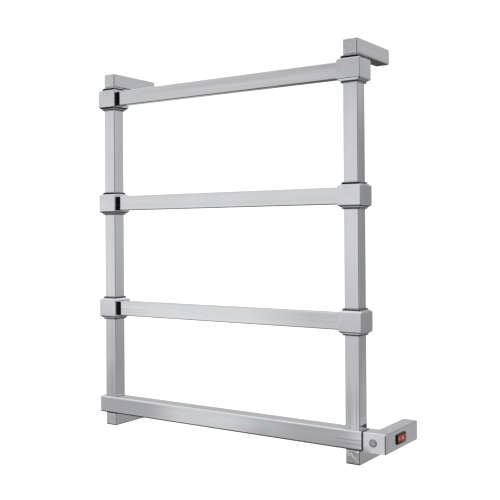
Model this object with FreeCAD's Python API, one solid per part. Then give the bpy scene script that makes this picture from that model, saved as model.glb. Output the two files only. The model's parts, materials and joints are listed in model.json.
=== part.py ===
"""Wall-mounted electric towel warmer rack: square-tube ladder frame with a switched control box.

Units are millimetres. +X runs to the right along the rails, +Y runs back to the wall and +Z is up.
The wall is the plane y = 0, and the origin is the centre of the four wall screws.
Each named piece is written to parts/NODE.step.
"""

import FreeCAD, Part
import math
import os

from FreeCAD import Vector

# ---------------------------------------------------------------- driving dimensions

POST_SPACING = 500.0          # centre to centre of the two posts
SCREW_PITCH_Z = 628.0         # centre to centre of the upper and lower wall arms
WALL_TO_POST_FRONT = 115.0    # wall plane to the front face of the posts
TUBE = 25.0                   # outside width of the square post and arm tube
TUBE_WALL = 1.5
POST_CORNER = 1.5             # outside corner radius of the square post tube
ARM_CORNER = 2.5              # the same on the wall arms
ARM_END_EDGE = 2.3            # rounding round an arm's closed front end
LOWER_ARM_TALL = 23.0         # the two arms under the bar are a little flatter

COLLAR_WIDTH = 40.0           # square body of a collar
COLLAR_TALL = 30.0
COLLAR_CORNER = 1.6           # rounding of the collar's upright edges
COLLAR_EDGE = 1.5             # rounding where its body meets the bevels
WAIST_WIDE = 28.8             # waist where the bevel ends
WAIST_ABOVE = 4.2             # beyond the body
LIP_WIDE = 32.4               # flared lip at the collar's end
LIP_ABOVE = 5.6               # beyond the body
COLLAR_PITCH = 193.5
TOP_COLLAR_DROP = 47.5        # top of the rack down to the centre of the top collars
POST_CLEARANCE = 0.1          # all round, between a collar or socket and the tube in it

RAIL_TALL = 26.6
RAIL_DEEP = 15.0
RAIL_WALL = 1.2
RAIL_CORNER = 1.5
RAIL_SET_BACK = 0.5           # rail front behind the post front

BAR_SIZE = 30.0               # square bottom bar
BAR_WALL = 1.5
BAR_CORNER = 2.6
BAR_LEFT_REACH = 21.5         # bar tube end beyond the left post's centre
BAR_RIGHT_REACH = 16.0        # bar end beyond the right post's centre
LAST_RAIL_TO_BAR = 179.5      # lower rail centre to bar centre
END_CAP_THICK = 3.0
END_CAP_EDGE = 2.0
END_CAP_PLUG = 8.0            # how far the cap's plug goes into the tube

BOX_GAP = 1.6                 # joint between bar and control box, filled by the gasket
GASKET_INSET = 0.8
BOX_FRONT_WIDE = 38.8
BOX_ARM_WIDE = 25.0
BOX_SHELL = 1.8
BOX_CORNER = 2.4
COVER_THICK = 1.5
BADGE_R = 6.3
BADGE_THICK = 0.5
BACK_COVER_INSET = 1.0
BACK_COVER_THICK = 2.0

SWITCH_CENTRE_Y = -64.0
BEZEL_LONG = 31.0
BEZEL_TALL = 15.0
BEZEL_PROUD = 2.5
SWITCH_BODY_LONG = 28.0
SWITCH_BODY_TALL = 13.6
SWITCH_BODY_DEEP = 14.5       # behind the outer face of the box
SWITCH_WALL = 1.0
ROCKER_TALL = 11.0
ROCKER_SWEEP_R = 12.6         # ends of the rocker, about its hinge
ROCKER_VALLEY = 2.6           # outer surface above the hinge at the middle
ROCKER_SKIN = 1.2
ROCKER_TILT = 9.0             # degrees each side of neutral
HINGE_BEHIND_FACE = 2.0
TRUNNION_R = 1.0
TRUNNION_REACH = 0.9
RUNNING_GAP = 0.3
NOSE_HALF = 1.2
NOSE_TIP = 6.7                # nose of the rocker behind the hinge
SEESAW_DEPTH = 7.5            # contact plate pivot behind the hinge
SEESAW_HALF = 7.0
SEESAW_THICK = 0.8
SEESAW_TALL = 5.0
SEESAW_TILT = 5.0
LAMP_LONG = 8.0
LAMP_BEHIND_HINGE = 3.8

BRACKET_DEEP = 22.0           # wall bracket inside each arm
BRACKET_BASE = 3.0
BRACKET_SKIN = 2.5
BRACKET_FIT = 0.2
WALL_SCREW_R = 2.6
SET_SCREW_R = 2.5
SET_SCREW_FROM_WALL = 11.0

CABLE_R = 2.0                 # heating cable
CABLE_BEND = 11.0
CABLE_WINDOW_R = 4.5
SPLICE_LONG = 12.0
FUSE_R = 2.0
LEAD_R = 0.9
INLET_BORE_R = 3.7

CHANNEL_TALL = 14.0           # channel that joins bar and box
CHANNEL_WALL = 1.5
SCREW_SHANK_R = 1.2
PILOT_R = 1.25
SCREW_HEAD_R = 2.6
SCREW_HEAD_TALL = 1.4
BOSS_R = 3.0
BLADE_HALF_THICK = 0.4
BLADE_HALF_WIDE = 2.4
TERMINAL_BLOCK_TALL = 13.0

# ---------------------------------------------------------------- derived positions

HALF_SPACING = POST_SPACING / 2
HALF_TUBE = TUBE / 2
UPPER_ARM_Z = SCREW_PITCH_Z / 2
LOWER_ARM_Z = -SCREW_PITCH_Z / 2
TOP_Z = UPPER_ARM_Z + HALF_TUBE
COLLAR_Z = [TOP_Z - TOP_COLLAR_DROP - row * COLLAR_PITCH for row in range(3)]
BAR_Z = COLLAR_Z[2] - LAST_RAIL_TO_BAR
BAR_TOP = BAR_Z + BAR_SIZE / 2
BAR_BOTTOM = BAR_Z - BAR_SIZE / 2
POST_FRONT = -WALL_TO_POST_FRONT
POST_Y = POST_FRONT + HALF_TUBE
RAIL_Y = POST_FRONT + RAIL_SET_BACK + RAIL_DEEP / 2
BAR_FRONT = POST_Y - BAR_SIZE / 2
BAR_BACK = POST_Y + BAR_SIZE / 2
BAR_LEFT = -HALF_SPACING - BAR_LEFT_REACH
BAR_RIGHT = HALF_SPACING + BAR_RIGHT_REACH
BOX_LEFT = BAR_RIGHT + BOX_GAP
BOX_RIGHT = BOX_LEFT + BOX_FRONT_WIDE
BOX_ARM_LEFT = BOX_RIGHT - BOX_ARM_WIDE
BADGE_X = BOX_LEFT + BOX_FRONT_WIDE * 0.46
COVER_TOP = BAR_BOTTOM + COVER_THICK
HINGE_X = BOX_RIGHT - HINGE_BEHIND_FACE
SEESAW_X = HINGE_X - SEESAW_DEPTH
BACK_COVER_Y = -BACK_COVER_INSET
ARM_CENTRE_X = (BOX_ARM_LEFT + BOX_RIGHT) / 2
BOX_CEILING = BAR_TOP - BOX_SHELL
CHANNEL_FLOOR = BAR_BOTTOM + BAR_WALL + 0.1
CHANNEL_LEFT = BAR_RIGHT - 46.0
CHANNEL_RIGHT = BOX_LEFT + 20.0
CHANNEL_SCREW_X = BAR_RIGHT - 38.0
CHANNEL_COVER_SCREW_X = BOX_LEFT + 10.0
BOSSES = [(BOX_RIGHT - BOX_SHELL - 3.2, -96.0), (ARM_CENTRE_X + 6.0, -15.0)]
COVER_SCREWS = BOSSES + [(CHANNEL_COVER_SCREW_X, POST_Y)]
BLADE_Y = [SWITCH_CENTRE_Y - 5.5, SWITCH_CENTRE_Y, SWITCH_CENTRE_Y + 5.5]
BLADE_END_X = BOX_RIGHT - SWITCH_BODY_DEEP - 5.5
RISER_X = HALF_SPACING + 8.0
LINK_X = HALF_SPACING + 1.0
LEFT_DROP_X = -HALF_SPACING - 2.0
SUPPLY_RUN_Z = BAR_Z + 4.5
RETURN_RUN_Z = BAR_Z - 5.5
CABLE_START_X = BOX_LEFT + 5.0
TERMINAL_X = [BOX_ARM_LEFT + 7.0, BOX_ARM_LEFT + 14.0]
TERMINAL_SCREW_Y = [-36.0, -26.0]
TERMINAL_WAY_Z = BOX_CEILING - 7.0

SIDES = {"left": -HALF_SPACING, "right": HALF_SPACING}
ARMS = [(UPPER_ARM_Z, TUBE), (LOWER_ARM_Z, LOWER_ARM_TALL)]
LEVELS = {"top": COLLAR_Z[0], "middle": COLLAR_Z[1], "lower": COLLAR_Z[2]}

X_AXIS = Vector(1, 0, 0)
Y_AXIS = Vector(0, 1, 0)
Z_AXIS = Vector(0, 0, 1)


# ---------------------------------------------------------------- shape helpers

def box(low, high):
    """Plain block between two corners."""
    size = [b - a for a, b in zip(low, high)]
    return Part.makeBox(size[0], size[1], size[2], Vector(*low))


def rounded(shape, radius, chosen):
    """Shape with a round of the given radius on every edge that chosen() accepts."""
    edges = [edge for edge in shape.Edges if chosen(edge)]
    return shape.makeFillet(radius, edges)


def along(axis):
    """Test for straight edges that run along an axis."""
    def test(edge):
        if len(edge.Vertexes) != 2:
            return False
        span = edge.Vertexes[1].Point - edge.Vertexes[0].Point
        return span.Length > 1e-6 and abs(abs(span.normalize().dot(axis)) - 1) < 1e-6
    return test


def rounded_block(low, high, axis, radius):
    """Block whose four long edges along the axis are rounded."""
    return rounded(box(low, high), radius, along(axis))


def cylinder(base, direction, radius, length):
    return Part.makeCylinder(radius, length, Vector(*base), direction)


def rounded_square(centre, width, radius):
    """Level square outline with round corners."""
    half = width / 2
    flat = half - radius
    diagonal = flat + radius * math.sqrt(0.5)
    edges = []
    for turn in range(4):
        across = Vector(math.cos(math.pi / 2 * turn), math.sin(math.pi / 2 * turn), 0)
        onward = Z_AXIS.cross(across)
        edges.append(Part.LineSegment(centre + across * half - onward * flat,
                                      centre + across * half + onward * flat).toShape())
        edges.append(Part.Arc(centre + across * half + onward * flat,
                              centre + (across + onward) * diagonal,
                              centre + across * flat + onward * half).toShape())
    return Part.Wire(edges)


def bent_tube(points, radius, bend):
    """Round cable through the points, with tangent arcs of one radius at the corners."""
    corners = [Vector(*point) for point in points]
    edges = []
    start = corners[0]
    for before, corner, after in zip(corners, corners[1:], corners[2:]):
        incoming = (corner - before).normalize()
        outgoing = (after - corner).normalize()
        turn = incoming.getAngle(outgoing)
        setback = bend * math.tan(turn / 2)
        enter = corner - incoming * setback
        leave = corner + outgoing * setback
        inward = (outgoing - incoming).normalize()
        middle = corner + inward * (bend / math.cos(turn / 2) - bend)
        if (enter - start).Length > 1e-6:
            edges.append(Part.LineSegment(start, enter).toShape())
        edges.append(Part.Arc(enter, middle, leave).toShape())
        start = leave
    edges.append(Part.LineSegment(start, corners[-1]).toShape())
    path = Part.Wire(edges)
    direction = (corners[1] - corners[0]).normalize()
    profile = Part.Wire([Part.Circle(corners[0], direction, radius).toShape()])
    tube = path.makePipeShell([profile], True, False)
    expected = math.pi * radius ** 2 * path.Length
    print("cable length %.0f mm, volume ratio %.4f" % (path.Length, abs(tube.Volume) / expected))
    return tube


def group(shapes):
    """Several separate solids kept together as one node."""
    return Part.makeCompound(shapes)


# ---------------------------------------------------------------- frame

def post(side_x):
    """Square tube standing on the bottom bar, with cable windows facing the other post."""
    low = (side_x - HALF_TUBE, POST_FRONT, BAR_TOP)
    high = (side_x + HALF_TUBE, POST_FRONT + TUBE, UPPER_ARM_Z - HALF_TUBE)
    outer = rounded_block(low, high, Z_AXIS, POST_CORNER)
    inner_low = (low[0] + TUBE_WALL, low[1] + TUBE_WALL, low[2])
    inner_high = (high[0] - TUBE_WALL, high[1] - TUBE_WALL, high[2])
    tube = outer.cut(box(inner_low, inner_high))
    inward = -math.copysign(1, side_x)
    for level in COLLAR_Z:
        window = cylinder((side_x, RAIL_Y, level), X_AXIS * inward, CABLE_WINDOW_R, TUBE)
        tube = tube.cut(window)
    return tube


def wall_arm(side_x, centre_z, tall):
    """Square arm from the post back to the wall: closed at the front, open at the wall."""
    low = (side_x - HALF_TUBE, POST_FRONT, centre_z - tall / 2)
    high = (side_x + HALF_TUBE, 0.0, centre_z + tall / 2)
    outer = rounded_block(low, high, Y_AXIS, ARM_CORNER)
    outer = rounded(outer, ARM_END_EDGE, lambda edge: edge.BoundBox.YMax < POST_FRONT + 1e-6)
    cavity = box((low[0] + TUBE_WALL, low[1] + TUBE_WALL, low[2] + TUBE_WALL),
                 (high[0] - TUBE_WALL, high[1], high[2] - TUBE_WALL))
    arm = outer.cut(cavity)
    screw_hole = cylinder((side_x, -SET_SCREW_FROM_WALL, low[2]), Z_AXIS, SET_SCREW_R, TUBE_WALL)
    return arm.cut(screw_hole)


def wall_bracket(side_x, centre_z, tall):
    """Cup screwed to the wall: the arm slides over it and its set screw bites from below."""
    half_x = HALF_TUBE - TUBE_WALL - BRACKET_FIT
    half_z = tall / 2 - TUBE_WALL - BRACKET_FIT
    outer = box((side_x - half_x, -BRACKET_DEEP, centre_z - half_z),
                (side_x + half_x, 0.0, centre_z + half_z))
    hollow = box((side_x - half_x + BRACKET_SKIN, -BRACKET_DEEP, centre_z - half_z + BRACKET_SKIN),
                 (side_x + half_x - BRACKET_SKIN, -BRACKET_BASE, centre_z + half_z - BRACKET_SKIN))
    cup = outer.cut(hollow)
    hole = cylinder((side_x, -BRACKET_BASE, centre_z), Y_AXIS, WALL_SCREW_R, BRACKET_BASE)
    return cup.cut(hole)


def set_screw(side_x, centre_z, tall):
    """Headless screw through the arm's underside up against the bracket."""
    sunk = 0.4
    bottom = centre_z - tall / 2 + sunk
    length = TUBE_WALL + BRACKET_FIT - sunk
    screw = cylinder((side_x, -SET_SCREW_FROM_WALL, bottom), Z_AXIS, SET_SCREW_R - 0.1, length)
    socket = hex_socket(side_x, -SET_SCREW_FROM_WALL, bottom, Z_AXIS, 1.2, 0.8)
    return screw.cut(socket)


def hex_socket(x, y, z, direction, radius, depth):
    """Hexagon recess starting at a point and running along a direction."""
    point = Vector(x, y, z)
    side = Vector(1, 0, 0) if abs(direction.x) < 0.5 else Vector(0, 1, 0)
    other = direction.cross(side)
    corners = [point + side * (radius * math.cos(math.radians(60 * turn)))
               + other * (radius * math.sin(math.radians(60 * turn))) for turn in range(7)]
    return Part.Face(Part.makePolygon(corners)).extrude(direction * depth)


def collar(side_x, level):
    """Square socket round a post: heavy body, bevelled to a waist and a flared lip at each end."""
    half_tall = COLLAR_TALL / 2
    profile = [(half_tall, COLLAR_WIDTH), (half_tall + WAIST_ABOVE, WAIST_WIDE),
               (half_tall + LIP_ABOVE, LIP_WIDE)]
    rising = [(-height, width) for height, width in reversed(profile)] + profile
    outlines = [rounded_square(Vector(side_x, POST_Y, level + height), width, COLLAR_CORNER)
                for height, width in rising]
    body = Part.makeLoft(outlines, True, True)

    def shoulder(edge):
        bounds = edge.BoundBox
        return bounds.ZLength < 1e-6 and abs(abs(bounds.ZMin - level) - half_tall) < 1e-6
    body = rounded(body, COLLAR_EDGE, shoulder)
    reach = HALF_TUBE + POST_CLEARANCE
    span = half_tall + LIP_ABOVE + 1.0
    bore = rounded_block((side_x - reach, POST_Y - reach, level - span),
                         (side_x + reach, POST_Y + reach, level + span), Z_AXIS, POST_CORNER)
    body = body.cut(bore)
    inward = -math.copysign(1, side_x)
    mouth_x = sorted((side_x, side_x + inward * COLLAR_WIDTH))
    mouth = rounded_block((mouth_x[0], RAIL_Y - RAIL_DEEP / 2 - POST_CLEARANCE,
                           level - RAIL_TALL / 2 - POST_CLEARANCE),
                          (mouth_x[1], RAIL_Y + RAIL_DEEP / 2 + POST_CLEARANCE,
                           level + RAIL_TALL / 2 + POST_CLEARANCE), X_AXIS, RAIL_CORNER)
    body = body.cut(mouth)
    screw_way = cylinder((side_x, POST_Y, level), Y_AXIS, SET_SCREW_R, COLLAR_WIDTH)
    return body.cut(screw_way).removeSplitter()


def collar_screw(side_x, level):
    """Headless screw in the back of a collar, tight against the post."""
    inner = POST_Y + HALF_TUBE
    length = COLLAR_WIDTH / 2 - HALF_TUBE - 0.8
    screw = cylinder((side_x, inner, level), Y_AXIS, SET_SCREW_R - 0.1, length)
    socket = hex_socket(side_x, inner + length, level, -Y_AXIS, 1.3, 2.0)
    return screw.cut(socket)


def rail(level):
    """Flat rectangular tube between the two posts."""
    reach = HALF_SPACING - HALF_TUBE
    low = (-reach, RAIL_Y - RAIL_DEEP / 2, level - RAIL_TALL / 2)
    high = (reach, RAIL_Y + RAIL_DEEP / 2, level + RAIL_TALL / 2)
    outer = rounded_block(low, high, X_AXIS, RAIL_CORNER)
    cavity = box((low[0], low[1] + RAIL_WALL, low[2] + RAIL_WALL),
                 (high[0], high[1] - RAIL_WALL, high[2] - RAIL_WALL))
    return outer.cut(cavity)


def bottom_bar():
    """Square tube under both posts, with cable holes up into the posts."""
    outer = rounded_block((BAR_LEFT, BAR_FRONT, BAR_BOTTOM), (BAR_RIGHT, BAR_BACK, BAR_TOP),
                          X_AXIS, BAR_CORNER)
    cavity = box((BAR_LEFT, BAR_FRONT + BAR_WALL, BAR_BOTTOM + BAR_WALL),
                 (BAR_RIGHT, BAR_BACK - BAR_WALL, BAR_TOP - BAR_WALL))
    tube = outer.cut(cavity)
    for cable_x in (LEFT_DROP_X, RISER_X):
        hole = cylinder((cable_x, RAIL_Y, BAR_TOP - BAR_WALL), Z_AXIS, CABLE_R + 1.0, BAR_WALL)
        tube = tube.cut(hole)
    screw_hole = cylinder((CHANNEL_SCREW_X, POST_Y, BAR_BOTTOM), Z_AXIS, 1.7, BAR_WALL)
    return tube.cut(screw_hole)


def bar_end_cap():
    """Plate closing the bar's left end, with a plug that fits the tube."""
    plate = rounded_block((BAR_LEFT - END_CAP_THICK, BAR_FRONT, BAR_BOTTOM),
                          (BAR_LEFT, BAR_BACK, BAR_TOP), X_AXIS, BAR_CORNER)
    plate = rounded(plate, END_CAP_EDGE, lambda edge: edge.BoundBox.XMax < BAR_LEFT - END_CAP_THICK + 1e-6)
    inset = BAR_WALL + POST_CLEARANCE
    plug_end = BAR_LEFT + END_CAP_PLUG
    plug = box((BAR_LEFT, BAR_FRONT + inset, BAR_BOTTOM + inset),
               (plug_end, BAR_BACK - inset, BAR_TOP - inset))
    inset += 2.0
    hollow = box((BAR_LEFT, BAR_FRONT + inset, BAR_BOTTOM + inset),
                 (plug_end, BAR_BACK - inset, BAR_TOP - inset))
    return plate.fuse(plug.cut(hollow))


# ---------------------------------------------------------------- control box

def box_outline(inset, wall_end):
    """Face of the box's L-shaped plan, set in from the outside by a distance."""
    points = [(BOX_LEFT + inset, BAR_FRONT + inset), (BOX_RIGHT - inset, BAR_FRONT + inset),
              (BOX_RIGHT - inset, wall_end), (BOX_ARM_LEFT + inset, wall_end),
              (BOX_ARM_LEFT + inset, BAR_BACK - inset), (BOX_LEFT + inset, BAR_BACK - inset)]
    corners = [Vector(x, y, BAR_BOTTOM) for x, y in points + points[:1]]
    return Part.Face(Part.makePolygon(corners))


def cover_boss(x, y, tall):
    return cylinder((x, y, COVER_TOP), Z_AXIS, BOSS_R, tall)


def control_housing():
    """L-shaped shell: front block beside the bar, arm back to the wall, open underneath."""
    outer = box_outline(0, 0.0).extrude(Z_AXIS * BAR_SIZE)

    def outside_edge(edge):
        at_wall = edge.BoundBox.YMin > -1e-6
        at_bottom = edge.BoundBox.ZMax < BAR_BOTTOM + 1e-6
        return not at_wall and not at_bottom
    outer = rounded(outer, BOX_CORNER, outside_edge)
    cavity = box_outline(BOX_SHELL, 1.0).extrude(Z_AXIS * (BAR_SIZE - BOX_SHELL))
    shell = outer.cut(cavity)
    mouth = box((BOX_LEFT - 1, BAR_FRONT + BOX_SHELL, BAR_BOTTOM + BAR_WALL),
                (BOX_LEFT + BOX_SHELL + 1, BAR_BACK - BOX_SHELL, BOX_CEILING))
    shell = shell.cut(mouth)
    cut_long = SWITCH_BODY_LONG / 2 + 0.1
    cut_tall = SWITCH_BODY_TALL / 2 + 0.1
    switch_hole = box((BOX_RIGHT - BOX_SHELL - 1, SWITCH_CENTRE_Y - cut_long, BAR_Z - cut_tall),
                      (BOX_RIGHT + 1, SWITCH_CENTRE_Y + cut_long, BAR_Z + cut_tall))
    shell = shell.cut(switch_hole)
    boss_tall = BOX_CEILING - COVER_TOP
    for boss_x, boss_y in BOSSES:
        boss = cover_boss(boss_x, boss_y, boss_tall)
        pilot = cylinder((boss_x, boss_y, COVER_TOP), Z_AXIS, PILOT_R, 10.0)
        shell = shell.fuse(boss).cut(pilot)
    return shell.removeSplitter()


def control_cover():
    """Plate let into the underside of the control box."""
    plate = box_outline(BOX_SHELL + 0.15, -BACK_COVER_INSET - BACK_COVER_THICK - 0.3)
    plate = plate.extrude(Z_AXIS * COVER_THICK)
    for screw_x, screw_y in COVER_SCREWS:
        plate = plate.cut(cylinder((screw_x, screw_y, BAR_BOTTOM), Z_AXIS, 1.6, COVER_THICK))
    return plate


def cover_screw(x, y, length):
    """Pan-head screw through the cover."""
    face = BAR_BOTTOM - SCREW_HEAD_TALL
    head = cylinder((x, y, face), Z_AXIS, SCREW_HEAD_R, SCREW_HEAD_TALL)
    head = rounded(head, 0.5, lambda edge: edge.BoundBox.ZMax < face + 0.1)
    screw = head.fuse(cylinder((x, y, BAR_BOTTOM), Z_AXIS, SCREW_SHANK_R, length))
    for half_x, half_y in ((1.6, 0.3), (0.3, 1.6)):
        slot = box((x - half_x, y - half_y, face), (x + half_x, y + half_y, face + 0.7))
        screw = screw.cut(slot)
    return screw


def joint_channel():
    """U-shaped channel inside bar and box that carries the box on the bar's end."""
    half = BAR_SIZE / 2 - BOX_SHELL - 0.2
    floor = CHANNEL_FLOOR
    outer = box((CHANNEL_LEFT, POST_Y - half, floor),
                (CHANNEL_RIGHT, POST_Y + half, floor + CHANNEL_TALL))
    half -= CHANNEL_WALL
    inner = box((CHANNEL_LEFT, POST_Y - half, floor + CHANNEL_WALL),
                (CHANNEL_RIGHT, POST_Y + half, floor + CHANNEL_TALL + 1.0))
    channel = outer.cut(inner)
    for screw_x in (CHANNEL_SCREW_X, CHANNEL_COVER_SCREW_X):
        channel = channel.cut(cylinder((screw_x, POST_Y, floor), Z_AXIS, PILOT_R, CHANNEL_WALL))
    return channel


def channel_screw():
    """Pan-head screw through the bar's underside into the channel."""
    face = BAR_BOTTOM - SCREW_HEAD_TALL
    head = cylinder((CHANNEL_SCREW_X, POST_Y, face), Z_AXIS, SCREW_HEAD_R, SCREW_HEAD_TALL)
    shank = cylinder((CHANNEL_SCREW_X, POST_Y, BAR_BOTTOM), Z_AXIS, SCREW_SHANK_R, 5.0)
    socket = hex_socket(CHANNEL_SCREW_X, POST_Y, face, Z_AXIS, 1.2, 0.9)
    return head.fuse(shank).cut(socket)


def joint_gasket():
    """Flat rubber frame that fills the joint between bar and box, set in all round."""
    inset = GASKET_INSET
    outer = rounded_block((BAR_RIGHT, BAR_FRONT + inset, BAR_BOTTOM + inset),
                          (BOX_LEFT, BAR_BACK - inset, BAR_TOP - inset), X_AXIS, BAR_CORNER - inset)
    inner = box((BAR_RIGHT, BAR_FRONT + BOX_SHELL, BAR_BOTTOM + BAR_WALL),
                (BOX_LEFT, BAR_BACK - BOX_SHELL, BOX_CEILING))
    return outer.cut(inner)


def back_cover():
    """Plate closing the control box's arm at the wall, with the cable inlet."""
    inset = BOX_SHELL + 0.15
    plate = box((BOX_ARM_LEFT + inset, BACK_COVER_Y - BACK_COVER_THICK, BAR_BOTTOM + 0.4),
                (BOX_RIGHT - inset, BACK_COVER_Y, BAR_TOP - inset))
    return plate.cut(cylinder((ARM_CENTRE_X, -10, BAR_Z), Y_AXIS, INLET_BORE_R + 1.6, 20))


def inlet_grommet():
    """Flanged rubber sleeve in the back cover that guides the supply flex from the wall."""
    inner_y = BACK_COVER_Y - BACK_COVER_THICK
    sleeve = cylinder((ARM_CENTRE_X, inner_y - 3.0, BAR_Z), Y_AXIS, INLET_BORE_R + 1.5,
                      BACK_COVER_THICK + 3.0)
    flange = cylinder((ARM_CENTRE_X, inner_y - 1.5, BAR_Z), Y_AXIS, INLET_BORE_R + 3.0, 1.5)
    lip = cylinder((ARM_CENTRE_X, BACK_COVER_Y, BAR_Z), Y_AXIS, INLET_BORE_R + 2.6, 0.8)
    whole = sleeve.fuse(flange).fuse(lip)
    return whole.cut(cylinder((ARM_CENTRE_X, -20, BAR_Z), Y_AXIS, INLET_BORE_R, 30))


def badge():
    """Plain round disc on the front of the box."""
    disc = cylinder((BADGE_X, BAR_FRONT, BAR_Z), -Y_AXIS, BADGE_R, BADGE_THICK)
    front = BAR_FRONT - BADGE_THICK
    return rounded(disc, BADGE_THICK / 2, lambda edge: edge.BoundBox.YMax < front + 0.1)


# ---------------------------------------------------------------- rocker switch

def switch_box(half_long, half_tall, x_low, x_high):
    """Block centred on the switch, between two depths."""
    return box((x_low, SWITCH_CENTRE_Y - half_long, BAR_Z - half_tall),
               (x_high, SWITCH_CENTRE_Y + half_long, BAR_Z + half_tall))


def switch_body():
    """Snap-in switch case with its bezel, open at the front for the rocker."""
    bottom = BOX_RIGHT - SWITCH_BODY_DEEP
    case = switch_box(SWITCH_BODY_LONG / 2, SWITCH_BODY_TALL / 2, bottom, BOX_RIGHT)
    bezel = switch_box(BEZEL_LONG / 2, BEZEL_TALL / 2, BOX_RIGHT, BOX_RIGHT + BEZEL_PROUD)
    bezel = rounded(bezel, 0.9, lambda edge: edge.BoundBox.XMax > BOX_RIGHT + 0.1)
    open_long = ROCKER_SWEEP_R + 0.4
    open_tall = ROCKER_TALL / 2 + RUNNING_GAP
    well = switch_box(open_long, open_tall, bottom + SWITCH_WALL, BOX_RIGHT + BEZEL_PROUD + 1)
    body = case.fuse(bezel).cut(well)
    pivot = cylinder((HINGE_X, SWITCH_CENTRE_Y, BAR_Z - ROCKER_TALL / 2 - TRUNNION_REACH - 0.1),
                     Z_AXIS, TRUNNION_R + 0.05, ROCKER_TALL + 2 * TRUNNION_REACH + 0.2)
    body = body.cut(pivot)
    for blade_y in BLADE_Y:
        slot = box((bottom - 1, blade_y - BLADE_HALF_THICK, BAR_Z - BLADE_HALF_WIDE),
                   (bottom + SWITCH_WALL + 1, blade_y + BLADE_HALF_THICK, BAR_Z + BLADE_HALF_WIDE))
        body = body.cut(slot)
    return body.removeSplitter()


def rocker_profile(extra):
    """Face of the rocker's side outline about its hinge, grown inwards by a skin."""
    slope = math.tan(math.radians(ROCKER_TILT))
    reach = ROCKER_SWEEP_R + 2
    middle = ROCKER_VALLEY - extra
    end = middle + reach * slope
    points = [(-1.0, -reach), (end, -reach), (middle, 0), (end, reach), (-1.0, reach)]
    corners = [Vector(HINGE_X + u, SWITCH_CENTRE_Y + v, BAR_Z) for u, v in points + points[:1]]
    outline = Part.Face(Part.makePolygon(corners))
    circle = Part.Circle(Vector(HINGE_X, SWITCH_CENTRE_Y, BAR_Z), Z_AXIS, ROCKER_SWEEP_R - extra)
    return outline.common(Part.Face(Part.Wire([circle.toShape()])))


def rocker():
    """Translucent see-saw button, shown pressed at its front end."""
    half = ROCKER_TALL / 2
    shell = rocker_profile(0).extrude(Z_AXIS * ROCKER_TALL)
    shell.translate(Vector(0, 0, -half))
    pocket = rocker_profile(ROCKER_SKIN).extrude(Z_AXIS * (ROCKER_TALL - 2 * ROCKER_SKIN))
    pocket.translate(Vector(0, 0, -half + ROCKER_SKIN))
    web = switch_box(2.2, half, HINGE_X - 1.0, HINGE_X + ROCKER_VALLEY)
    shell = shell.cut(pocket.cut(web))
    nose_end = HINGE_X - NOSE_TIP + NOSE_HALF
    nose = switch_box(NOSE_HALF, 2.5, nose_end, HINGE_X)
    tip = cylinder((nose_end, SWITCH_CENTRE_Y, BAR_Z - 2.5), Z_AXIS, NOSE_HALF, 5.0)
    trunnion = cylinder((HINGE_X, SWITCH_CENTRE_Y, BAR_Z - half - TRUNNION_REACH), Z_AXIS,
                        TRUNNION_R, ROCKER_TALL + 2 * TRUNNION_REACH)
    hub = cylinder((HINGE_X, SWITCH_CENTRE_Y, BAR_Z - half), Z_AXIS, 2.2, ROCKER_TALL)
    whole = shell.fuse(hub).fuse(nose).fuse(tip).fuse(trunnion).removeSplitter()
    whole.rotate(Vector(HINGE_X, SWITCH_CENTRE_Y, 0), Z_AXIS, -ROCKER_TILT)
    return whole


def contact_seesaw():
    """Contact plate that the rocker's nose tips the other way."""
    plate = switch_box(SEESAW_HALF, SEESAW_TALL / 2,
                       SEESAW_X - SEESAW_THICK / 2, SEESAW_X + SEESAW_THICK / 2)
    plate = rounded(plate, 1.5, along(X_AXIS))
    plate.rotate(Vector(SEESAW_X, SWITCH_CENTRE_Y, 0), Z_AXIS, SEESAW_TILT)
    return plate


def terminal_blade(y, tip_x):
    """Brass blade through the floor of the switch case."""
    blade = box((BLADE_END_X, y - BLADE_HALF_THICK, BAR_Z - BLADE_HALF_WIDE),
                (tip_x, y + BLADE_HALF_THICK, BAR_Z + BLADE_HALF_WIDE))
    eye = cylinder((BLADE_END_X + 1.8, y - 1, BAR_Z), Y_AXIS, 0.8, 2)
    return blade.cut(eye)


def neon_lamp():
    """Small tube behind the rear half of the rocker."""
    return cylinder((HINGE_X - LAMP_BEHIND_HINGE, SWITCH_CENTRE_Y + 9.5, BAR_Z - LAMP_LONG / 2),
                    Z_AXIS, 1.5, LAMP_LONG)


# ---------------------------------------------------------------- wiring and heating

def heating_cable():
    """One heating cable that runs through the posts and the three rails and back in the bar."""
    route = [(CABLE_START_X, SUPPLY_RUN_Z), (RISER_X, SUPPLY_RUN_Z),
             (RISER_X, COLLAR_Z[0]), (LEFT_DROP_X, COLLAR_Z[0]),
             (LEFT_DROP_X, COLLAR_Z[1]), (LINK_X, COLLAR_Z[1]),
             (LINK_X, COLLAR_Z[2]), (LEFT_DROP_X, COLLAR_Z[2]),
             (LEFT_DROP_X, RETURN_RUN_Z), (CABLE_START_X, RETURN_RUN_Z)]
    return bent_tube([(x, RAIL_Y, z) for x, z in route], CABLE_R, CABLE_BEND)


def splice(level):
    """Crimp sleeve where a heating cable end meets its cold lead."""
    return cylinder((CABLE_START_X, RAIL_Y, level), X_AXIS, CABLE_R + 0.6, SPLICE_LONG)


def window_grommet(side_x, level):
    """Rubber ring in a post's cable window."""
    inward = -math.copysign(1, side_x)
    start = side_x + inward * (HALF_TUBE - TUBE_WALL)
    ring = cylinder((start, RAIL_Y, level), X_AXIS * inward, CABLE_WINDOW_R, TUBE_WALL)
    return ring.cut(cylinder((start, RAIL_Y, level), X_AXIS * inward, CABLE_R + 0.1, TUBE_WALL))


def thermal_fuse():
    """Thermal fuse lying in the channel beside the cable."""
    level = CHANNEL_FLOOR + CHANNEL_WALL + FUSE_R
    return cylinder((BOX_LEFT - 2.0, POST_Y - 7.5, level), X_AXIS, FUSE_R, 11.0)


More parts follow.
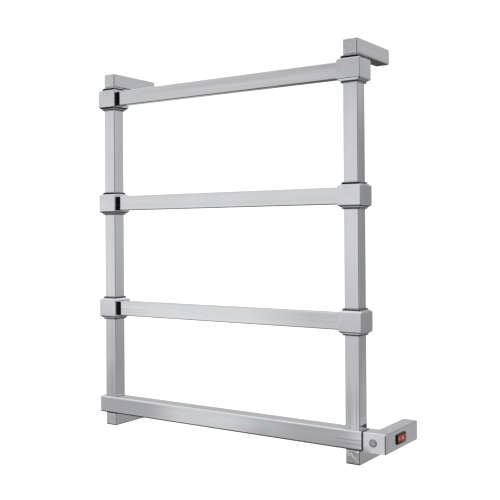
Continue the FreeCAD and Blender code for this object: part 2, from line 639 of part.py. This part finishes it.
def terminal_block():
    """Two-way terminal block on the box's ceiling near the wall."""
    bottom = BOX_CEILING - TERMINAL_BLOCK_TALL
    block = box((BOX_ARM_LEFT + 3.5, -40.0, bottom), (BOX_RIGHT - 5.5, -22.0, BOX_CEILING))
    block = rounded(block, 0.8, along(Z_AXIS))
    for way_x in TERMINAL_X:
        wire_way = cylinder((way_x, -41.0, TERMINAL_WAY_Z), Y_AXIS, 1.6, 20.0)
        block = block.cut(wire_way)
        for screw_y in TERMINAL_SCREW_Y:
            block = block.cut(cylinder((way_x, screw_y, bottom), Z_AXIS, 1.5, 6.0))
    return block


def terminal_screw(way_x, screw_y):
    """Small brass screw that clamps a wire in the terminal block."""
    base = BOX_CEILING - TERMINAL_BLOCK_TALL + 0.5
    screw = cylinder((way_x, screw_y, base), Z_AXIS, 1.4, 3.6)
    slot = box((way_x - 1.4, screw_y - 0.25, base), (way_x + 1.4, screw_y + 0.25, base + 0.7))
    return screw.cut(slot)


def live_lead():
    """Lead from the terminal block forward to the switch's nearest blade."""
    x = BLADE_END_X - LEAD_R - 0.3
    return bent_tube([(TERMINAL_X[0], -30.0, TERMINAL_WAY_Z), (TERMINAL_X[0], -47.0, TERMINAL_WAY_Z),
                      (x, -53.0, BAR_Z), (x, BLADE_Y[2] + BLADE_HALF_THICK, BAR_Z)], LEAD_R, 3.0)


def neutral_lead():
    """Lead from the terminal block along the box's floor to the return splice."""
    low = COVER_TOP + 2.6
    end_x = CABLE_START_X + SPLICE_LONG
    return bent_tube([(TERMINAL_X[1], -30.0, TERMINAL_WAY_Z), (TERMINAL_X[1], -43.5, TERMINAL_WAY_Z),
                      (TERMINAL_X[1], -46.5, low), (TERMINAL_X[1], RAIL_Y, low),
                      (end_x + 3.4, RAIL_Y, RETURN_RUN_Z), (end_x, RAIL_Y, RETURN_RUN_Z)],
                     LEAD_R, 1.6)


def switched_lead():
    """Lead from the switch's front blade to the supply splice."""
    end_x = CABLE_START_X + SPLICE_LONG
    x = BLADE_END_X - LEAD_R - 0.3
    return bent_tube([(x, BLADE_Y[0] + 0.2, BAR_Z + 1.0), (x, -80.0, BAR_Z + 6.0),
                      (x + 5.0, -90.0, SUPPLY_RUN_Z), (x + 5.0, RAIL_Y, SUPPLY_RUN_Z),
                      (end_x, RAIL_Y, SUPPLY_RUN_Z)], LEAD_R, 2.5)


# ---------------------------------------------------------------- all the pieces

def build():
    """Every node of the rack, by name."""
    nodes = {}
    for side, side_x in SIDES.items():
        nodes[side + "_post"] = post(side_x)
        nodes["upper_" + side + "_arm"] = wall_arm(side_x, UPPER_ARM_Z, TUBE)
        nodes["lower_" + side + "_arm"] = wall_arm(side_x, LOWER_ARM_Z, LOWER_ARM_TALL)
        nodes["upper_" + side + "_bracket"] = wall_bracket(side_x, UPPER_ARM_Z, TUBE)
        nodes["lower_" + side + "_bracket"] = wall_bracket(side_x, LOWER_ARM_Z, LOWER_ARM_TALL)
        for name, level in LEVELS.items():
            nodes[name + "_" + side + "_collar"] = collar(side_x, level)
    for name, level in LEVELS.items():
        nodes[name + "_rail"] = rail(level)
    nodes["bottom_bar"] = bottom_bar()
    nodes["bar_end_cap"] = bar_end_cap()
    nodes["arm_set_screws"] = group([set_screw(x, z, tall) for x in SIDES.values() for z, tall in ARMS])
    nodes["collar_screws"] = group([collar_screw(x, z) for x in SIDES.values() for z in COLLAR_Z])
    nodes["control_housing"] = control_housing()
    nodes["control_cover"] = control_cover()
    nodes["cover_screws"] = group([cover_screw(x, y, 9.0) for x, y in BOSSES]
                                  + [cover_screw(CHANNEL_COVER_SCREW_X, POST_Y, 4.5)])
    nodes["joint_channel"] = joint_channel()
    nodes["channel_screw"] = channel_screw()
    nodes["joint_gasket"] = joint_gasket()
    nodes["back_cover"] = back_cover()
    nodes["inlet_grommet"] = inlet_grommet()
    nodes["badge"] = badge()
    nodes["switch_body"] = switch_body()
    nodes["rocker"] = rocker()
    nodes["contact_seesaw"] = contact_seesaw()
    pivot_x = SEESAW_X - SEESAW_THICK / 2 - RUNNING_GAP
    pad_x = pivot_x - SEESAW_HALF * math.sin(math.radians(SEESAW_TILT))
    nodes["switch_terminals"] = group([terminal_blade(y, tip_x)
                                       for y, tip_x in zip(BLADE_Y, (pad_x, pivot_x, pad_x))])
    nodes["neon_lamp"] = neon_lamp()
    nodes["heating_cable"] = heating_cable()
    nodes["cable_splices"] = group([splice(SUPPLY_RUN_Z), splice(RETURN_RUN_Z)])
    nodes["window_grommets"] = group([window_grommet(x, z) for x in SIDES.values() for z in COLLAR_Z])
    nodes["thermal_fuse"] = thermal_fuse()
    nodes["terminal_block"] = terminal_block()
    nodes["terminal_screws"] = group([terminal_screw(x, y)
                                      for x in TERMINAL_X for y in TERMINAL_SCREW_Y])
    nodes["live_lead"] = live_lead()
    nodes["neutral_lead"] = neutral_lead()
    nodes["switched_lead"] = switched_lead()
    return nodes


def main():
    os.makedirs("parts", exist_ok=True)
    for name, shape in build().items():
        solids = shape.Solids
        if not solids or not all(solid.isValid() for solid in solids):
            print("CHECK", name, "solids", len(solids), "valid", shape.isValid())
        shape.exportStep("parts/" + name + ".step")
        print("%-22s %2d solid(s) %10.1f mm3" % (name, len(solids), shape.Volume))


main()
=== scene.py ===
"""Looks of the wall-mounted towel warmer rack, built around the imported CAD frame."""

import json
import math

import bmesh
import bpy
from mathutils import Matrix, Vector


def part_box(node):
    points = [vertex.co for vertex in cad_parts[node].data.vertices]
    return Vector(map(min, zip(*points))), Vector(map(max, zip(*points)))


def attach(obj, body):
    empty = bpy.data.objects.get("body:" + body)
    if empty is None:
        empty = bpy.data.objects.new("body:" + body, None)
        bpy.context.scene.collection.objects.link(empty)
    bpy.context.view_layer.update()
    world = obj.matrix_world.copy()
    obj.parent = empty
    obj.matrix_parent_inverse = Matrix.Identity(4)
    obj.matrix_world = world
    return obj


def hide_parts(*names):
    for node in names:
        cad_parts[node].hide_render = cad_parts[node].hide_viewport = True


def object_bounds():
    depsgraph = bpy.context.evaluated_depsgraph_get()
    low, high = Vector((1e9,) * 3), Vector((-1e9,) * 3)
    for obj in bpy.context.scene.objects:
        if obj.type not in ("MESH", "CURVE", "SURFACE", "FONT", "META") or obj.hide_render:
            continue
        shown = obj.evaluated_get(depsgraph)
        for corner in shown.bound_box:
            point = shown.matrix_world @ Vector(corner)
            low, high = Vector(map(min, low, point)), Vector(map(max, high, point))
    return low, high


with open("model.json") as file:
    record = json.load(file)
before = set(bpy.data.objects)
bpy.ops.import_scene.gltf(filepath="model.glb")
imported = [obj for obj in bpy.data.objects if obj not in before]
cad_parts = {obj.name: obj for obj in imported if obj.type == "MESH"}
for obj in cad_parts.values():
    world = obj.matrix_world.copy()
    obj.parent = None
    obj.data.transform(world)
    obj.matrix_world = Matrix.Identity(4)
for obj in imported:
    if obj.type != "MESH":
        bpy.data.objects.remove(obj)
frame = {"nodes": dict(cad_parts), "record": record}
cad_low, cad_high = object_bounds()
NODES = frame["nodes"]

# ---------------------------------------------------------------- camera

CAMERA_PLACE = (0.8407, -1.2651, 0.0298)
CAMERA_AZIMUTH = 34.03         # degrees, 0 looks along +Y
CAMERA_DOWN = -0.173           # degrees below the horizon
CAMERA_ROLL = -0.408           # degrees
CAMERA_LENS = 60.59            # mm on a 36 mm sensor
CAMERA_SHIFT_Y = -0.04


def make_camera():
    data = bpy.data.cameras.new("camera")
    data.sensor_width = 36.0
    data.lens = CAMERA_LENS
    data.shift_y = CAMERA_SHIFT_Y
    data.clip_start = 0.05
    data.clip_end = 60.0
    camera = bpy.data.objects.new("camera", data)
    bpy.context.scene.collection.objects.link(camera)
    azimuth, down, roll = (math.radians(a) for a in (CAMERA_AZIMUTH, CAMERA_DOWN, CAMERA_ROLL))
    forward = Vector((-math.sin(azimuth) * math.cos(down), math.cos(azimuth) * math.cos(down),
                      -math.sin(down)))
    right = Vector((math.cos(azimuth), math.sin(azimuth), 0))
    up = right.cross(forward)
    x_axis = right * math.cos(roll) + up * math.sin(roll)
    y_axis = up * math.cos(roll) - right * math.sin(roll)
    turn = Matrix((x_axis, y_axis, -forward)).transposed()
    camera.matrix_world = Matrix.Translation(CAMERA_PLACE) @ turn.to_4x4()
    bpy.context.scene.camera = camera


make_camera()

MM = 0.001

# ---------------------------------------------------------------- node helpers


class Nodes:
    """Short way to build a node tree."""

    def __init__(self, tree):
        self.tree = tree
        tree.nodes.clear()

    def add(self, kind, inputs=(), **settings):
        node = self.tree.nodes.new(kind)
        for name, value in settings.items():
            setattr(node, name, value)
        for key, value in dict(inputs).items():
            if isinstance(value, bpy.types.NodeSocket):
                self.tree.links.new(value, node.inputs[key])
            else:
                node.inputs[key].default_value = value
        return node

    def math(self, operation, a, b):
        return self.add("ShaderNodeMath", {0: a, 1: b}, operation=operation).outputs[0]

    def span(self, value, low, high, to_low, to_high, smooth=False):
        kind = "SMOOTHSTEP" if smooth else "LINEAR"
        return self.add("ShaderNodeMapRange", {"Value": value, "From Min": low, "From Max": high,
                                               "To Min": to_low, "To Max": to_high},
                        interpolation_type=kind).outputs["Result"]

    def noise(self, where, scale, detail=2.0, roughness=0.5):
        return self.add("ShaderNodeTexNoise", {"Vector": where, "Scale": scale, "Detail": detail,
                                               "Roughness": roughness}).outputs["Fac"]

    def blend(self, factor, a, b):
        node = self.add("ShaderNodeMix", {0: factor}, data_type="RGBA")
        for key, value in ((6, a), (7, b)):
            if isinstance(value, bpy.types.NodeSocket):
                self.tree.links.new(value, node.inputs[key])
            else:
                node.inputs[key].default_value = value
        return node.outputs[2]


def grey(value):
    return (value, value, value, 1.0)


# ---------------------------------------------------------------- studio

# How bright the studio is at each height (the Z of a direction), as the chrome reflects it.
SKY_STEPS = [
    (-1.0, 0.22), (-0.88, 0.10), (-0.74, 0.02), (-0.45, 0.012), (-0.34, 0.06), (-0.27, 0.40),
    (-0.20, 0.57), (-0.12, 0.56), (-0.04, 0.68), (0.04, 0.70), (0.12, 0.66), (0.16, 0.62),
    (0.19, 0.53), (0.22, 0.42), (0.27, 0.33), (0.40, 0.60), (0.62, 0.88), (1.0, 0.80),
]
# Soft panels and dark screens: direction, inner and outer half angle in degrees, brightness.
# The narrow ones set the tone of single chrome faces as the main view shows them.
PANELS = [
    ((0.30, 0.95, 0.00), 15, 50, 0.29),
    ((0.37, 0.90, -0.20), 2, 6, 0.40),
    ((0.42, 0.88, 0.27), 3, 10, 0.46),
    ((0.72, 0.66, 0.15), 7, 18, 0.49),
    ((-0.90, 0.40, 0.10), 10, 40, 0.45),
    ((-0.48, 0.86, 0.21), 8, 20, 0.50),
    ((-0.30, 0.90, -0.36), 10, 24, 0.06),
    ((-0.61, -0.79, -0.07), 2, 8, 0.77),
    ((-0.61, -0.79, -0.21), 1.5, 4.5, 0.68),
    ((-0.69, -0.73, -0.15), 1.5, 4.0, 0.54),
    ((-0.68, -0.73, -0.21), 1.5, 4.0, 0.42),
    ((-0.48, -0.87, -0.235), 1.5, 4.0, 0.42),
    ((-0.405, -0.91, -0.24), 2.2, 3.8, 0.68),
    ((-0.45, -0.85, -0.32), 3.7, 4.4, 0.26),
    ((0.05, -1.00, 0.05), 6, 22, 1.3),
    ((0.56, -0.83, 0.00), 27, 35, 0.008),
    ((0.99, -0.10, 0.00), 16, 32, 0.32),
]
WHITE_FOR_CAMERA = 1.25        # backdrop where it is seen directly
DIFFUSE_LIGHT = 1.15           # even light that matt surfaces receive


def make_world():
    world = bpy.data.worlds.new("studio")
    bpy.context.scene.world = world
    world.use_nodes = True
    n = Nodes(world.node_tree)
    direction = n.add("ShaderNodeTexCoord").outputs["Generated"]
    up = n.add("ShaderNodeSeparateXYZ", {0: direction}).outputs["Z"]
    height = n.span(up, -1, 1, 0, 1)
    ramp = n.add("ShaderNodeValToRGB", {0: height})
    elements = ramp.color_ramp.elements
    for place, _ in SKY_STEPS[1:-1]:
        elements.new((place + 1) / 2)
    for step, (place, value) in zip(elements, SKY_STEPS):
        step.position = (place + 1) / 2
        step.color = grey(value)
    colour = ramp.outputs["Color"]
    for towards, inner, outer, value in PANELS:
        axis = Vector(towards).normalized()
        near = n.add("ShaderNodeVectorMath", {0: direction, 1: axis}, operation="DOT_PRODUCT")
        share = n.span(near.outputs["Value"], math.cos(math.radians(outer)),
                       math.cos(math.radians(inner)), 0, 1, smooth=True)
        colour = n.blend(share, colour, grey(value))
    path = n.add("ShaderNodeLightPath")
    colour = n.blend(path.outputs["Is Diffuse Ray"], colour, grey(DIFFUSE_LIGHT))
    colour = n.blend(path.outputs["Is Camera Ray"], colour, grey(WHITE_FOR_CAMERA))
    background = n.add("ShaderNodeBackground", {"Color": colour, "Strength": 1.0})
    n.add("ShaderNodeOutputWorld", {"Surface": background.outputs[0]})


make_world()
bpy.context.scene.view_settings.view_transform = "Standard"

FLOOR_DROP = 1.1               # below the lowest point of the rack, which hangs on a wall
FLOOR_REACH = 8.0
FLOOR_GLOW = 0.3               # keeps the floor as white as the backdrop


def make_floor():
    mesh = bpy.data.meshes.new("floor")
    level = cad_low.z - FLOOR_DROP
    corners = [(sx * FLOOR_REACH, sy * FLOOR_REACH, level)
               for sx, sy in ((-1, -1), (1, -1), (1, 1), (-1, 1))]
    mesh.from_pydata(corners, [], [(0, 1, 2, 3)])
    floor = bpy.data.objects.new("floor", mesh)
    bpy.context.scene.collection.objects.link(floor)
    floor.visible_glossy = False
    material = bpy.data.materials.new("floor_paint")
    material.use_nodes = True
    n = Nodes(material.node_tree)
    place = n.add("ShaderNodeTexCoord").outputs["Object"]
    tone = n.span(n.noise(place, 3.0), 0, 1, 0.955, 0.985)
    colour = n.add("ShaderNodeCombineColor", {0: tone, 1: tone, 2: tone}).outputs[0]
    shader = n.add("ShaderNodeBsdfPrincipled", {"Base Color": colour, "Roughness": 0.9,
                                                "Emission Color": colour, "Emission Strength": FLOOR_GLOW})
    n.add("ShaderNodeOutputMaterial", {"Surface": shader.outputs[0]})
    mesh.materials.append(material)


make_floor()

# ---------------------------------------------------------------- materials

WAVE_SCALE = 110.0
LONG = 0.02                    # how much the grain is drawn out along a tube
FINE_DEPTH = 0.1 * MM          # height that the fine bump stands for
# Painted shade: where ambient occlusion finds a surface sheltered, between SHELTER_CLEAR and SHELTER_DARK,
# its colour is darkened towards near black.
SHELTER_DARK, SHELTER_CLEAR = 0.35, 0.75
PAINTED_SHADE_COLOUR = (0.03, 0.03, 0.032, 1.0)


def new_material(name):
    material = bpy.data.materials.new(name)
    material.use_nodes = True
    return material, Nodes(material.node_tree)


def finish_material(n, inputs):
    shader = n.add("ShaderNodeBsdfPrincipled", inputs)
    n.add("ShaderNodeOutputMaterial", {"Surface": shader.outputs[0]})


def tinted(n, factor, dark, light):
    return n.blend(factor, (*dark, 1.0), (*light, 1.0))


def metal(name, dark, light, rough_low, rough_high, grain=(1, 1, 1), grain_scale=400.0, bump=0.0,
          wave=0.0, painted_shade_reach=0.0):
    """Metal with cloudy tone and a grain that may be drawn out along an axis.

    wave is the height in metres of a long soft ripple; the last argument is the distance within which painted
    shade darkens corners, crevices and joints between parts.
    """
    material, n = new_material(name)
    place = n.add("ShaderNodeTexCoord").outputs["Object"]
    drawn = n.add("ShaderNodeMapping", {"Vector": place, "Scale": grain}).outputs[0]
    cloud = n.noise(place, 22.0, 3.0)
    lines = n.noise(drawn, grain_scale, 4.0, 0.6)
    broad = n.noise(drawn, WAVE_SCALE, 1.0, 0.5)
    mottle = n.math("ADD", n.math("MULTIPLY", cloud, 0.5), n.math("MULTIPLY", lines, 0.5))
    tone = n.math("ADD", n.math("MULTIPLY", mottle, 0.5), n.math("MULTIPLY", broad, 0.5))
    colour = tinted(n, n.span(tone, 0.38, 0.62, 0, 1), dark, light)
    # Painted shade: ambient occlusion darkens corners, crevices and joints between parts towards near black.
    if painted_shade_reach:
        shelter = n.add("ShaderNodeAmbientOcclusion", {"Distance": painted_shade_reach}, samples=8).outputs["AO"]
        colour = n.blend(n.span(shelter, SHELTER_DARK, SHELTER_CLEAR, 0, 1), PAINTED_SHADE_COLOUR, colour)
    inputs = {"Base Color": colour, "Metallic": 1.0,
              "Roughness": n.span(mottle, 0.3, 0.7, rough_low, rough_high)}
    if wave:
        inputs["Normal"] = n.add("ShaderNodeBump", {"Height": broad, "Strength": 1.0,
                                                    "Distance": wave}).outputs[0]
    if bump:
        fine = {"Height": lines, "Strength": bump, "Distance": FINE_DEPTH}
        if wave:
            fine["Normal"] = inputs["Normal"]
        inputs["Normal"] = n.add("ShaderNodeBump", fine).outputs[0]
    finish_material(n, inputs)
    return material


def plastic(name, dark, light, rough_low, rough_high, scale=900.0, bump=0.15, **extra):
    """Moulded plastic or rubber with a fine mould texture."""
    material, n = new_material(name)
    place = n.add("ShaderNodeTexCoord").outputs["Object"]
    cloud = n.noise(place, 60.0, 3.0)
    fine = n.noise(place, scale, 3.0, 0.6)
    inputs = {"Base Color": tinted(n, cloud, dark, light),
              "Roughness": n.span(fine, 0.3, 0.7, rough_low, rough_high),
              "Normal": n.add("ShaderNodeBump", {"Height": fine, "Strength": bump,
                                                 "Distance": FINE_DEPTH}).outputs[0]}
    inputs.update(extra)
    finish_material(n, inputs)
    return material


def chrome(name, grain):
    """Polished chrome plate over tube that was drawn along one axis, with painted shade darkening its corners
    and the joints between parts.
    """
    return metal(name, (0.845, 0.853, 0.875), (0.925, 0.931, 0.95), 0.04, 0.07, grain=grain,
                 grain_scale=700.0, bump=0.012, wave=0.00012, painted_shade_reach=0.0035)


CHROMES = {"x": chrome("chrome_along_x", (LONG, 1, 1)), "y": chrome("chrome_along_y", (1, LONG, 1)),
           "z": chrome("chrome_along_z", (1, 1, LONG)), "cast": chrome("chrome_cast", (0.35, 0.35, 0.35))}
MATERIALS = {
    "satin_badge": metal("satin_badge", (0.60, 0.60, 0.61), (0.74, 0.74, 0.75), 0.25, 0.38, bump=0.2),
    "zinc_plate": metal("zinc_plate", (0.56, 0.58, 0.60), (0.70, 0.71, 0.72), 0.28, 0.42, bump=0.1),
    "screw_steel": metal("screw_steel", (0.40, 0.40, 0.41), (0.52, 0.52, 0.53), 0.22, 0.36, bump=0.1),
    "black_rubber": plastic("black_rubber", (0.012, 0.012, 0.012), (0.03, 0.03, 0.03), 0.6, 0.8),
    "black_plastic": plastic("black_plastic", (0.008, 0.008, 0.009), (0.016, 0.016, 0.017), 0.3, 0.45),
    "red_lens": plastic("red_lens", (0.20, 0.018, 0.006), (0.34, 0.045, 0.014), 0.14, 0.22,
                        **{"Coat Weight": 0.3, "Coat Roughness": 0.05}),
    "brass": metal("brass", (0.70, 0.52, 0.24), (0.80, 0.62, 0.32), 0.2, 0.32, bump=0.05),
    "lamp_glass": plastic("lamp_glass", (0.92, 0.60, 0.42), (0.98, 0.72, 0.52), 0.03, 0.06, bump=0.0),
    "cable_silicone": plastic("cable_silicone", (0.42, 0.10, 0.07), (0.58, 0.17, 0.12), 0.45, 0.6),
    "splice_sleeve": plastic("splice_sleeve", (0.05, 0.05, 0.055), (0.10, 0.10, 0.11), 0.4, 0.55),
    "white_plastic": plastic("white_plastic", (0.78, 0.78, 0.75), (0.88, 0.88, 0.86), 0.35, 0.5),
    "lead_brown": plastic("lead_brown", (0.22, 0.09, 0.035), (0.32, 0.15, 0.07), 0.35, 0.5),
    "lead_black": plastic("lead_black", (0.02, 0.02, 0.02), (0.045, 0.045, 0.045), 0.35, 0.5),
    "lead_blue": plastic("lead_blue", (0.05, 0.14, 0.42), (0.09, 0.21, 0.55), 0.35, 0.5),
}


def grain_of(name):
    """The way a chromed node's tube was drawn."""
    for ending, way in (("_post", "z"), ("_arm", "y"), ("_rail", "x"), ("bottom_bar", "x")):
        if name.endswith(ending):
            return way
    return "cast"


def dress_cad():
    slots = {part["node"]: part["material_slot"] for part in frame["record"]["subparts"]}
    for name, node in NODES.items():
        slot = slots[name]
        material = CHROMES[grain_of(name)] if slot == "polished_metal" else MATERIALS[slot]
        node.data.materials.clear()
        node.data.materials.append(material)


dress_cad()

# ---------------------------------------------------------------- pieces

SHARP_ANGLE = 15.0             # degrees, above which an edge of a turned piece stays crisp


def lathe(name, profile, sides=72):
    """A closed turned body: profile is a list of (radius, height) from the axis at one end to the other."""
    mesh = bpy.data.meshes.new(name)
    work = bmesh.new()
    rings = []
    for radius, height in profile:
        if radius == 0:
            rings.append([work.verts.new((0, 0, height))])
        else:
            rings.append([work.verts.new((radius * math.cos(2 * math.pi * i / sides),
                                          radius * math.sin(2 * math.pi * i / sides), height))
                          for i in range(sides)])
    for lower, upper in zip(rings, rings[1:]):
        for i in range(sides):
            j = (i + 1) % sides
            corners = [lower[i % len(lower)], lower[j % len(lower)], upper[j % len(upper)],
                       upper[i % len(upper)]]
            work.faces.new(list(dict.fromkeys(corners)))
    bmesh.ops.recalc_face_normals(work, faces=work.faces)
    for face in work.faces:
        face.smooth = True
    work.to_mesh(mesh)
    work.free()
    mesh.set_sharp_from_angle(angle=math.radians(SHARP_ANGLE))
    piece = bpy.data.objects.new(name, mesh)
    bpy.context.scene.collection.objects.link(piece)
    return piece


def place_on(piece, origin, outward):
    """Stand the piece's Z axis along outward with its Y axis up."""
    z_axis = Vector(outward).normalized()
    x_axis = Vector((0, 0, 1)).cross(z_axis).normalized()
    y_axis = z_axis.cross(x_axis)
    turn = Matrix((x_axis, y_axis, z_axis)).transposed().to_4x4()
    piece.matrix_world = Matrix.Translation(origin) @ turn


BADGE_RIM, BADGE_GROOVE = 0.87, 0.73    # outside and inside of the groove, as shares of the radius
PAINT_EDGE = 0.1 * MM


def make_badge():
    """The round badge as a blank disc with a raised rim and a dark groove inside it."""
    low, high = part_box("badge")
    centre = (low + high) / 2
    radius = (high.x - low.x) / 2
    thick = high.y - low.y
    rim, groove = BADGE_RIM * radius, BADGE_GROOVE * radius
    disc = lathe("badge_disc", [
        (0, 0), (radius, 0), (radius, 0.75 * thick), (radius - 0.25 * thick, thick),
        (rim + 0.2 * thick, thick), (rim, 0.8 * thick), (rim - 0.1 * thick, 0.3 * thick),
        (groove + 0.1 * thick, 0.3 * thick), (groove, 0.7 * thick), (groove - 0.3 * thick, 0.9 * thick),
        (0, 0.9 * thick)])
    place_on(disc, (centre.x, high.y, centre.z), (0, -1, 0))
    disc.data.materials.append(badge_metal(rim, groove))
    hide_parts("badge")
    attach(disc, "frame")


LEAST_RADIUS = 0.02 * MM
LEAST_HOLE = 0.1 * MM          # a loop whose inside is narrower is made solid


def capsule_ring(name, half_wide, half_tall, line, rise, sides=24):
    """A flat raised loop, or a solid bar when its inside closes up, standing along Z."""
    mesh = bpy.data.meshes.new(name)
    work = bmesh.new()

    def loop(grow, height):
        radius = max(half_wide + grow, LEAST_RADIUS)
        straight = half_tall - half_wide
        points = []
        for i in range(sides):
            angle = 2 * math.pi * i / sides
            shift = straight if math.sin(angle) >= 0 else -straight
            place = (radius * math.cos(angle), radius * math.sin(angle) + shift, height)
            points.append(work.verts.new(place))
        return points

    edge = 0.25 * rise
    loops = [loop(0, -rise), loop(0, rise - edge), loop(-edge, rise)]
    open_middle = half_wide - line > LEAST_HOLE
    if open_middle:
        loops += [loop(edge - line, rise), loop(-line, rise - edge), loop(-line, -rise)]
        loops.append(loops[0])
    for lower, upper in zip(loops, loops[1:]):
        for i in range(sides):
            j = (i + 1) % sides
            work.faces.new((lower[i], lower[j], upper[j], upper[i]))
    if not open_middle:
        work.faces.new(list(reversed(loops[0])))
        work.faces.new(loops[-1])
    bmesh.ops.recalc_face_normals(work, faces=work.faces)
    work.to_mesh(mesh)
    work.free()
    piece = bpy.data.objects.new(name, mesh)
    bpy.context.scene.collection.objects.link(piece)
    return piece


HINGE_PLACE = (0.3044, -0.064, -0.2875)
ROCKER_TILT = 9.0              # degrees
ROCKER_VALLEY = 2.6 * MM       # from the hinge out to the middle of the rocker's face
MARK_RISE = 0.12 * MM
MARK_TALL = 2.3 * MM           # half height of a mark
MARK_LINE = 0.5 * MM
# The marks: name, side of the rocker's middle, distance from it, half width.
MARKS = [("mark_bar", -1, 7.6 * MM, 0.45 * MM), ("mark_ring", 1, 4.0 * MM, 1.7 * MM)]


def make_switch_marks():
    """A raised bar and ring on the two halves of the rocker's face, the usual signs of a mains switch."""
    hinge = Vector(HINGE_PLACE)
    valley = Matrix.Rotation(math.radians(-ROCKER_TILT), 3, "Z") @ Vector((ROCKER_VALLEY, 0, 0)) + hinge
    for name, side, reach, half_wide in MARKS:
        slope = math.radians(ROCKER_TILT * (1 + side))
        along = Vector((math.sin(slope), side * math.cos(slope), 0))
        outward = Vector((math.cos(slope), -side * math.sin(slope), 0))
        mark = capsule_ring(name, half_wide, MARK_TALL, MARK_LINE, MARK_RISE)
        place_on(mark, valley + along * reach, outward)
        mark.data.materials.append(plastic(name + "_paint", (0.80, 0.62, 0.52), (0.92, 0.74, 0.62),
                                           0.3, 0.4, scale=3000.0, bump=0.05))
        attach(mark, "rocker")


def badge_metal(rim, groove):
    """Satin metal with dark paint in the ring between two radii."""
    material, n = new_material("badge_metal")
    place = n.add("ShaderNodeTexCoord").outputs["Object"]
    flat = n.add("ShaderNodeMapping", {"Vector": place, "Scale": (1, 1, 0)}).outputs[0]
    reach = n.add("ShaderNodeVectorMath", {0: flat}, operation="LENGTH").outputs["Value"]
    inside = n.span(reach, rim - PAINT_EDGE, rim, 1, 0)
    outside = n.span(reach, groove, groove + PAINT_EDGE, 0, 1)
    ring = n.math("MULTIPLY", inside, outside)
    cloud = n.noise(place, 500.0, 4.0, 0.6)
    metal_tone = tinted(n, cloud, (0.62, 0.63, 0.65), (0.80, 0.81, 0.83))
    colour = n.blend(ring, metal_tone, (0.06, 0.06, 0.065, 1.0))
    finish_material(n, {"Base Color": colour, "Metallic": n.span(ring, 0, 1, 1, 0),
                        "Roughness": n.span(cloud, 0.3, 0.7, 0.22, 0.34)})
    return material


make_badge()
make_switch_marks()
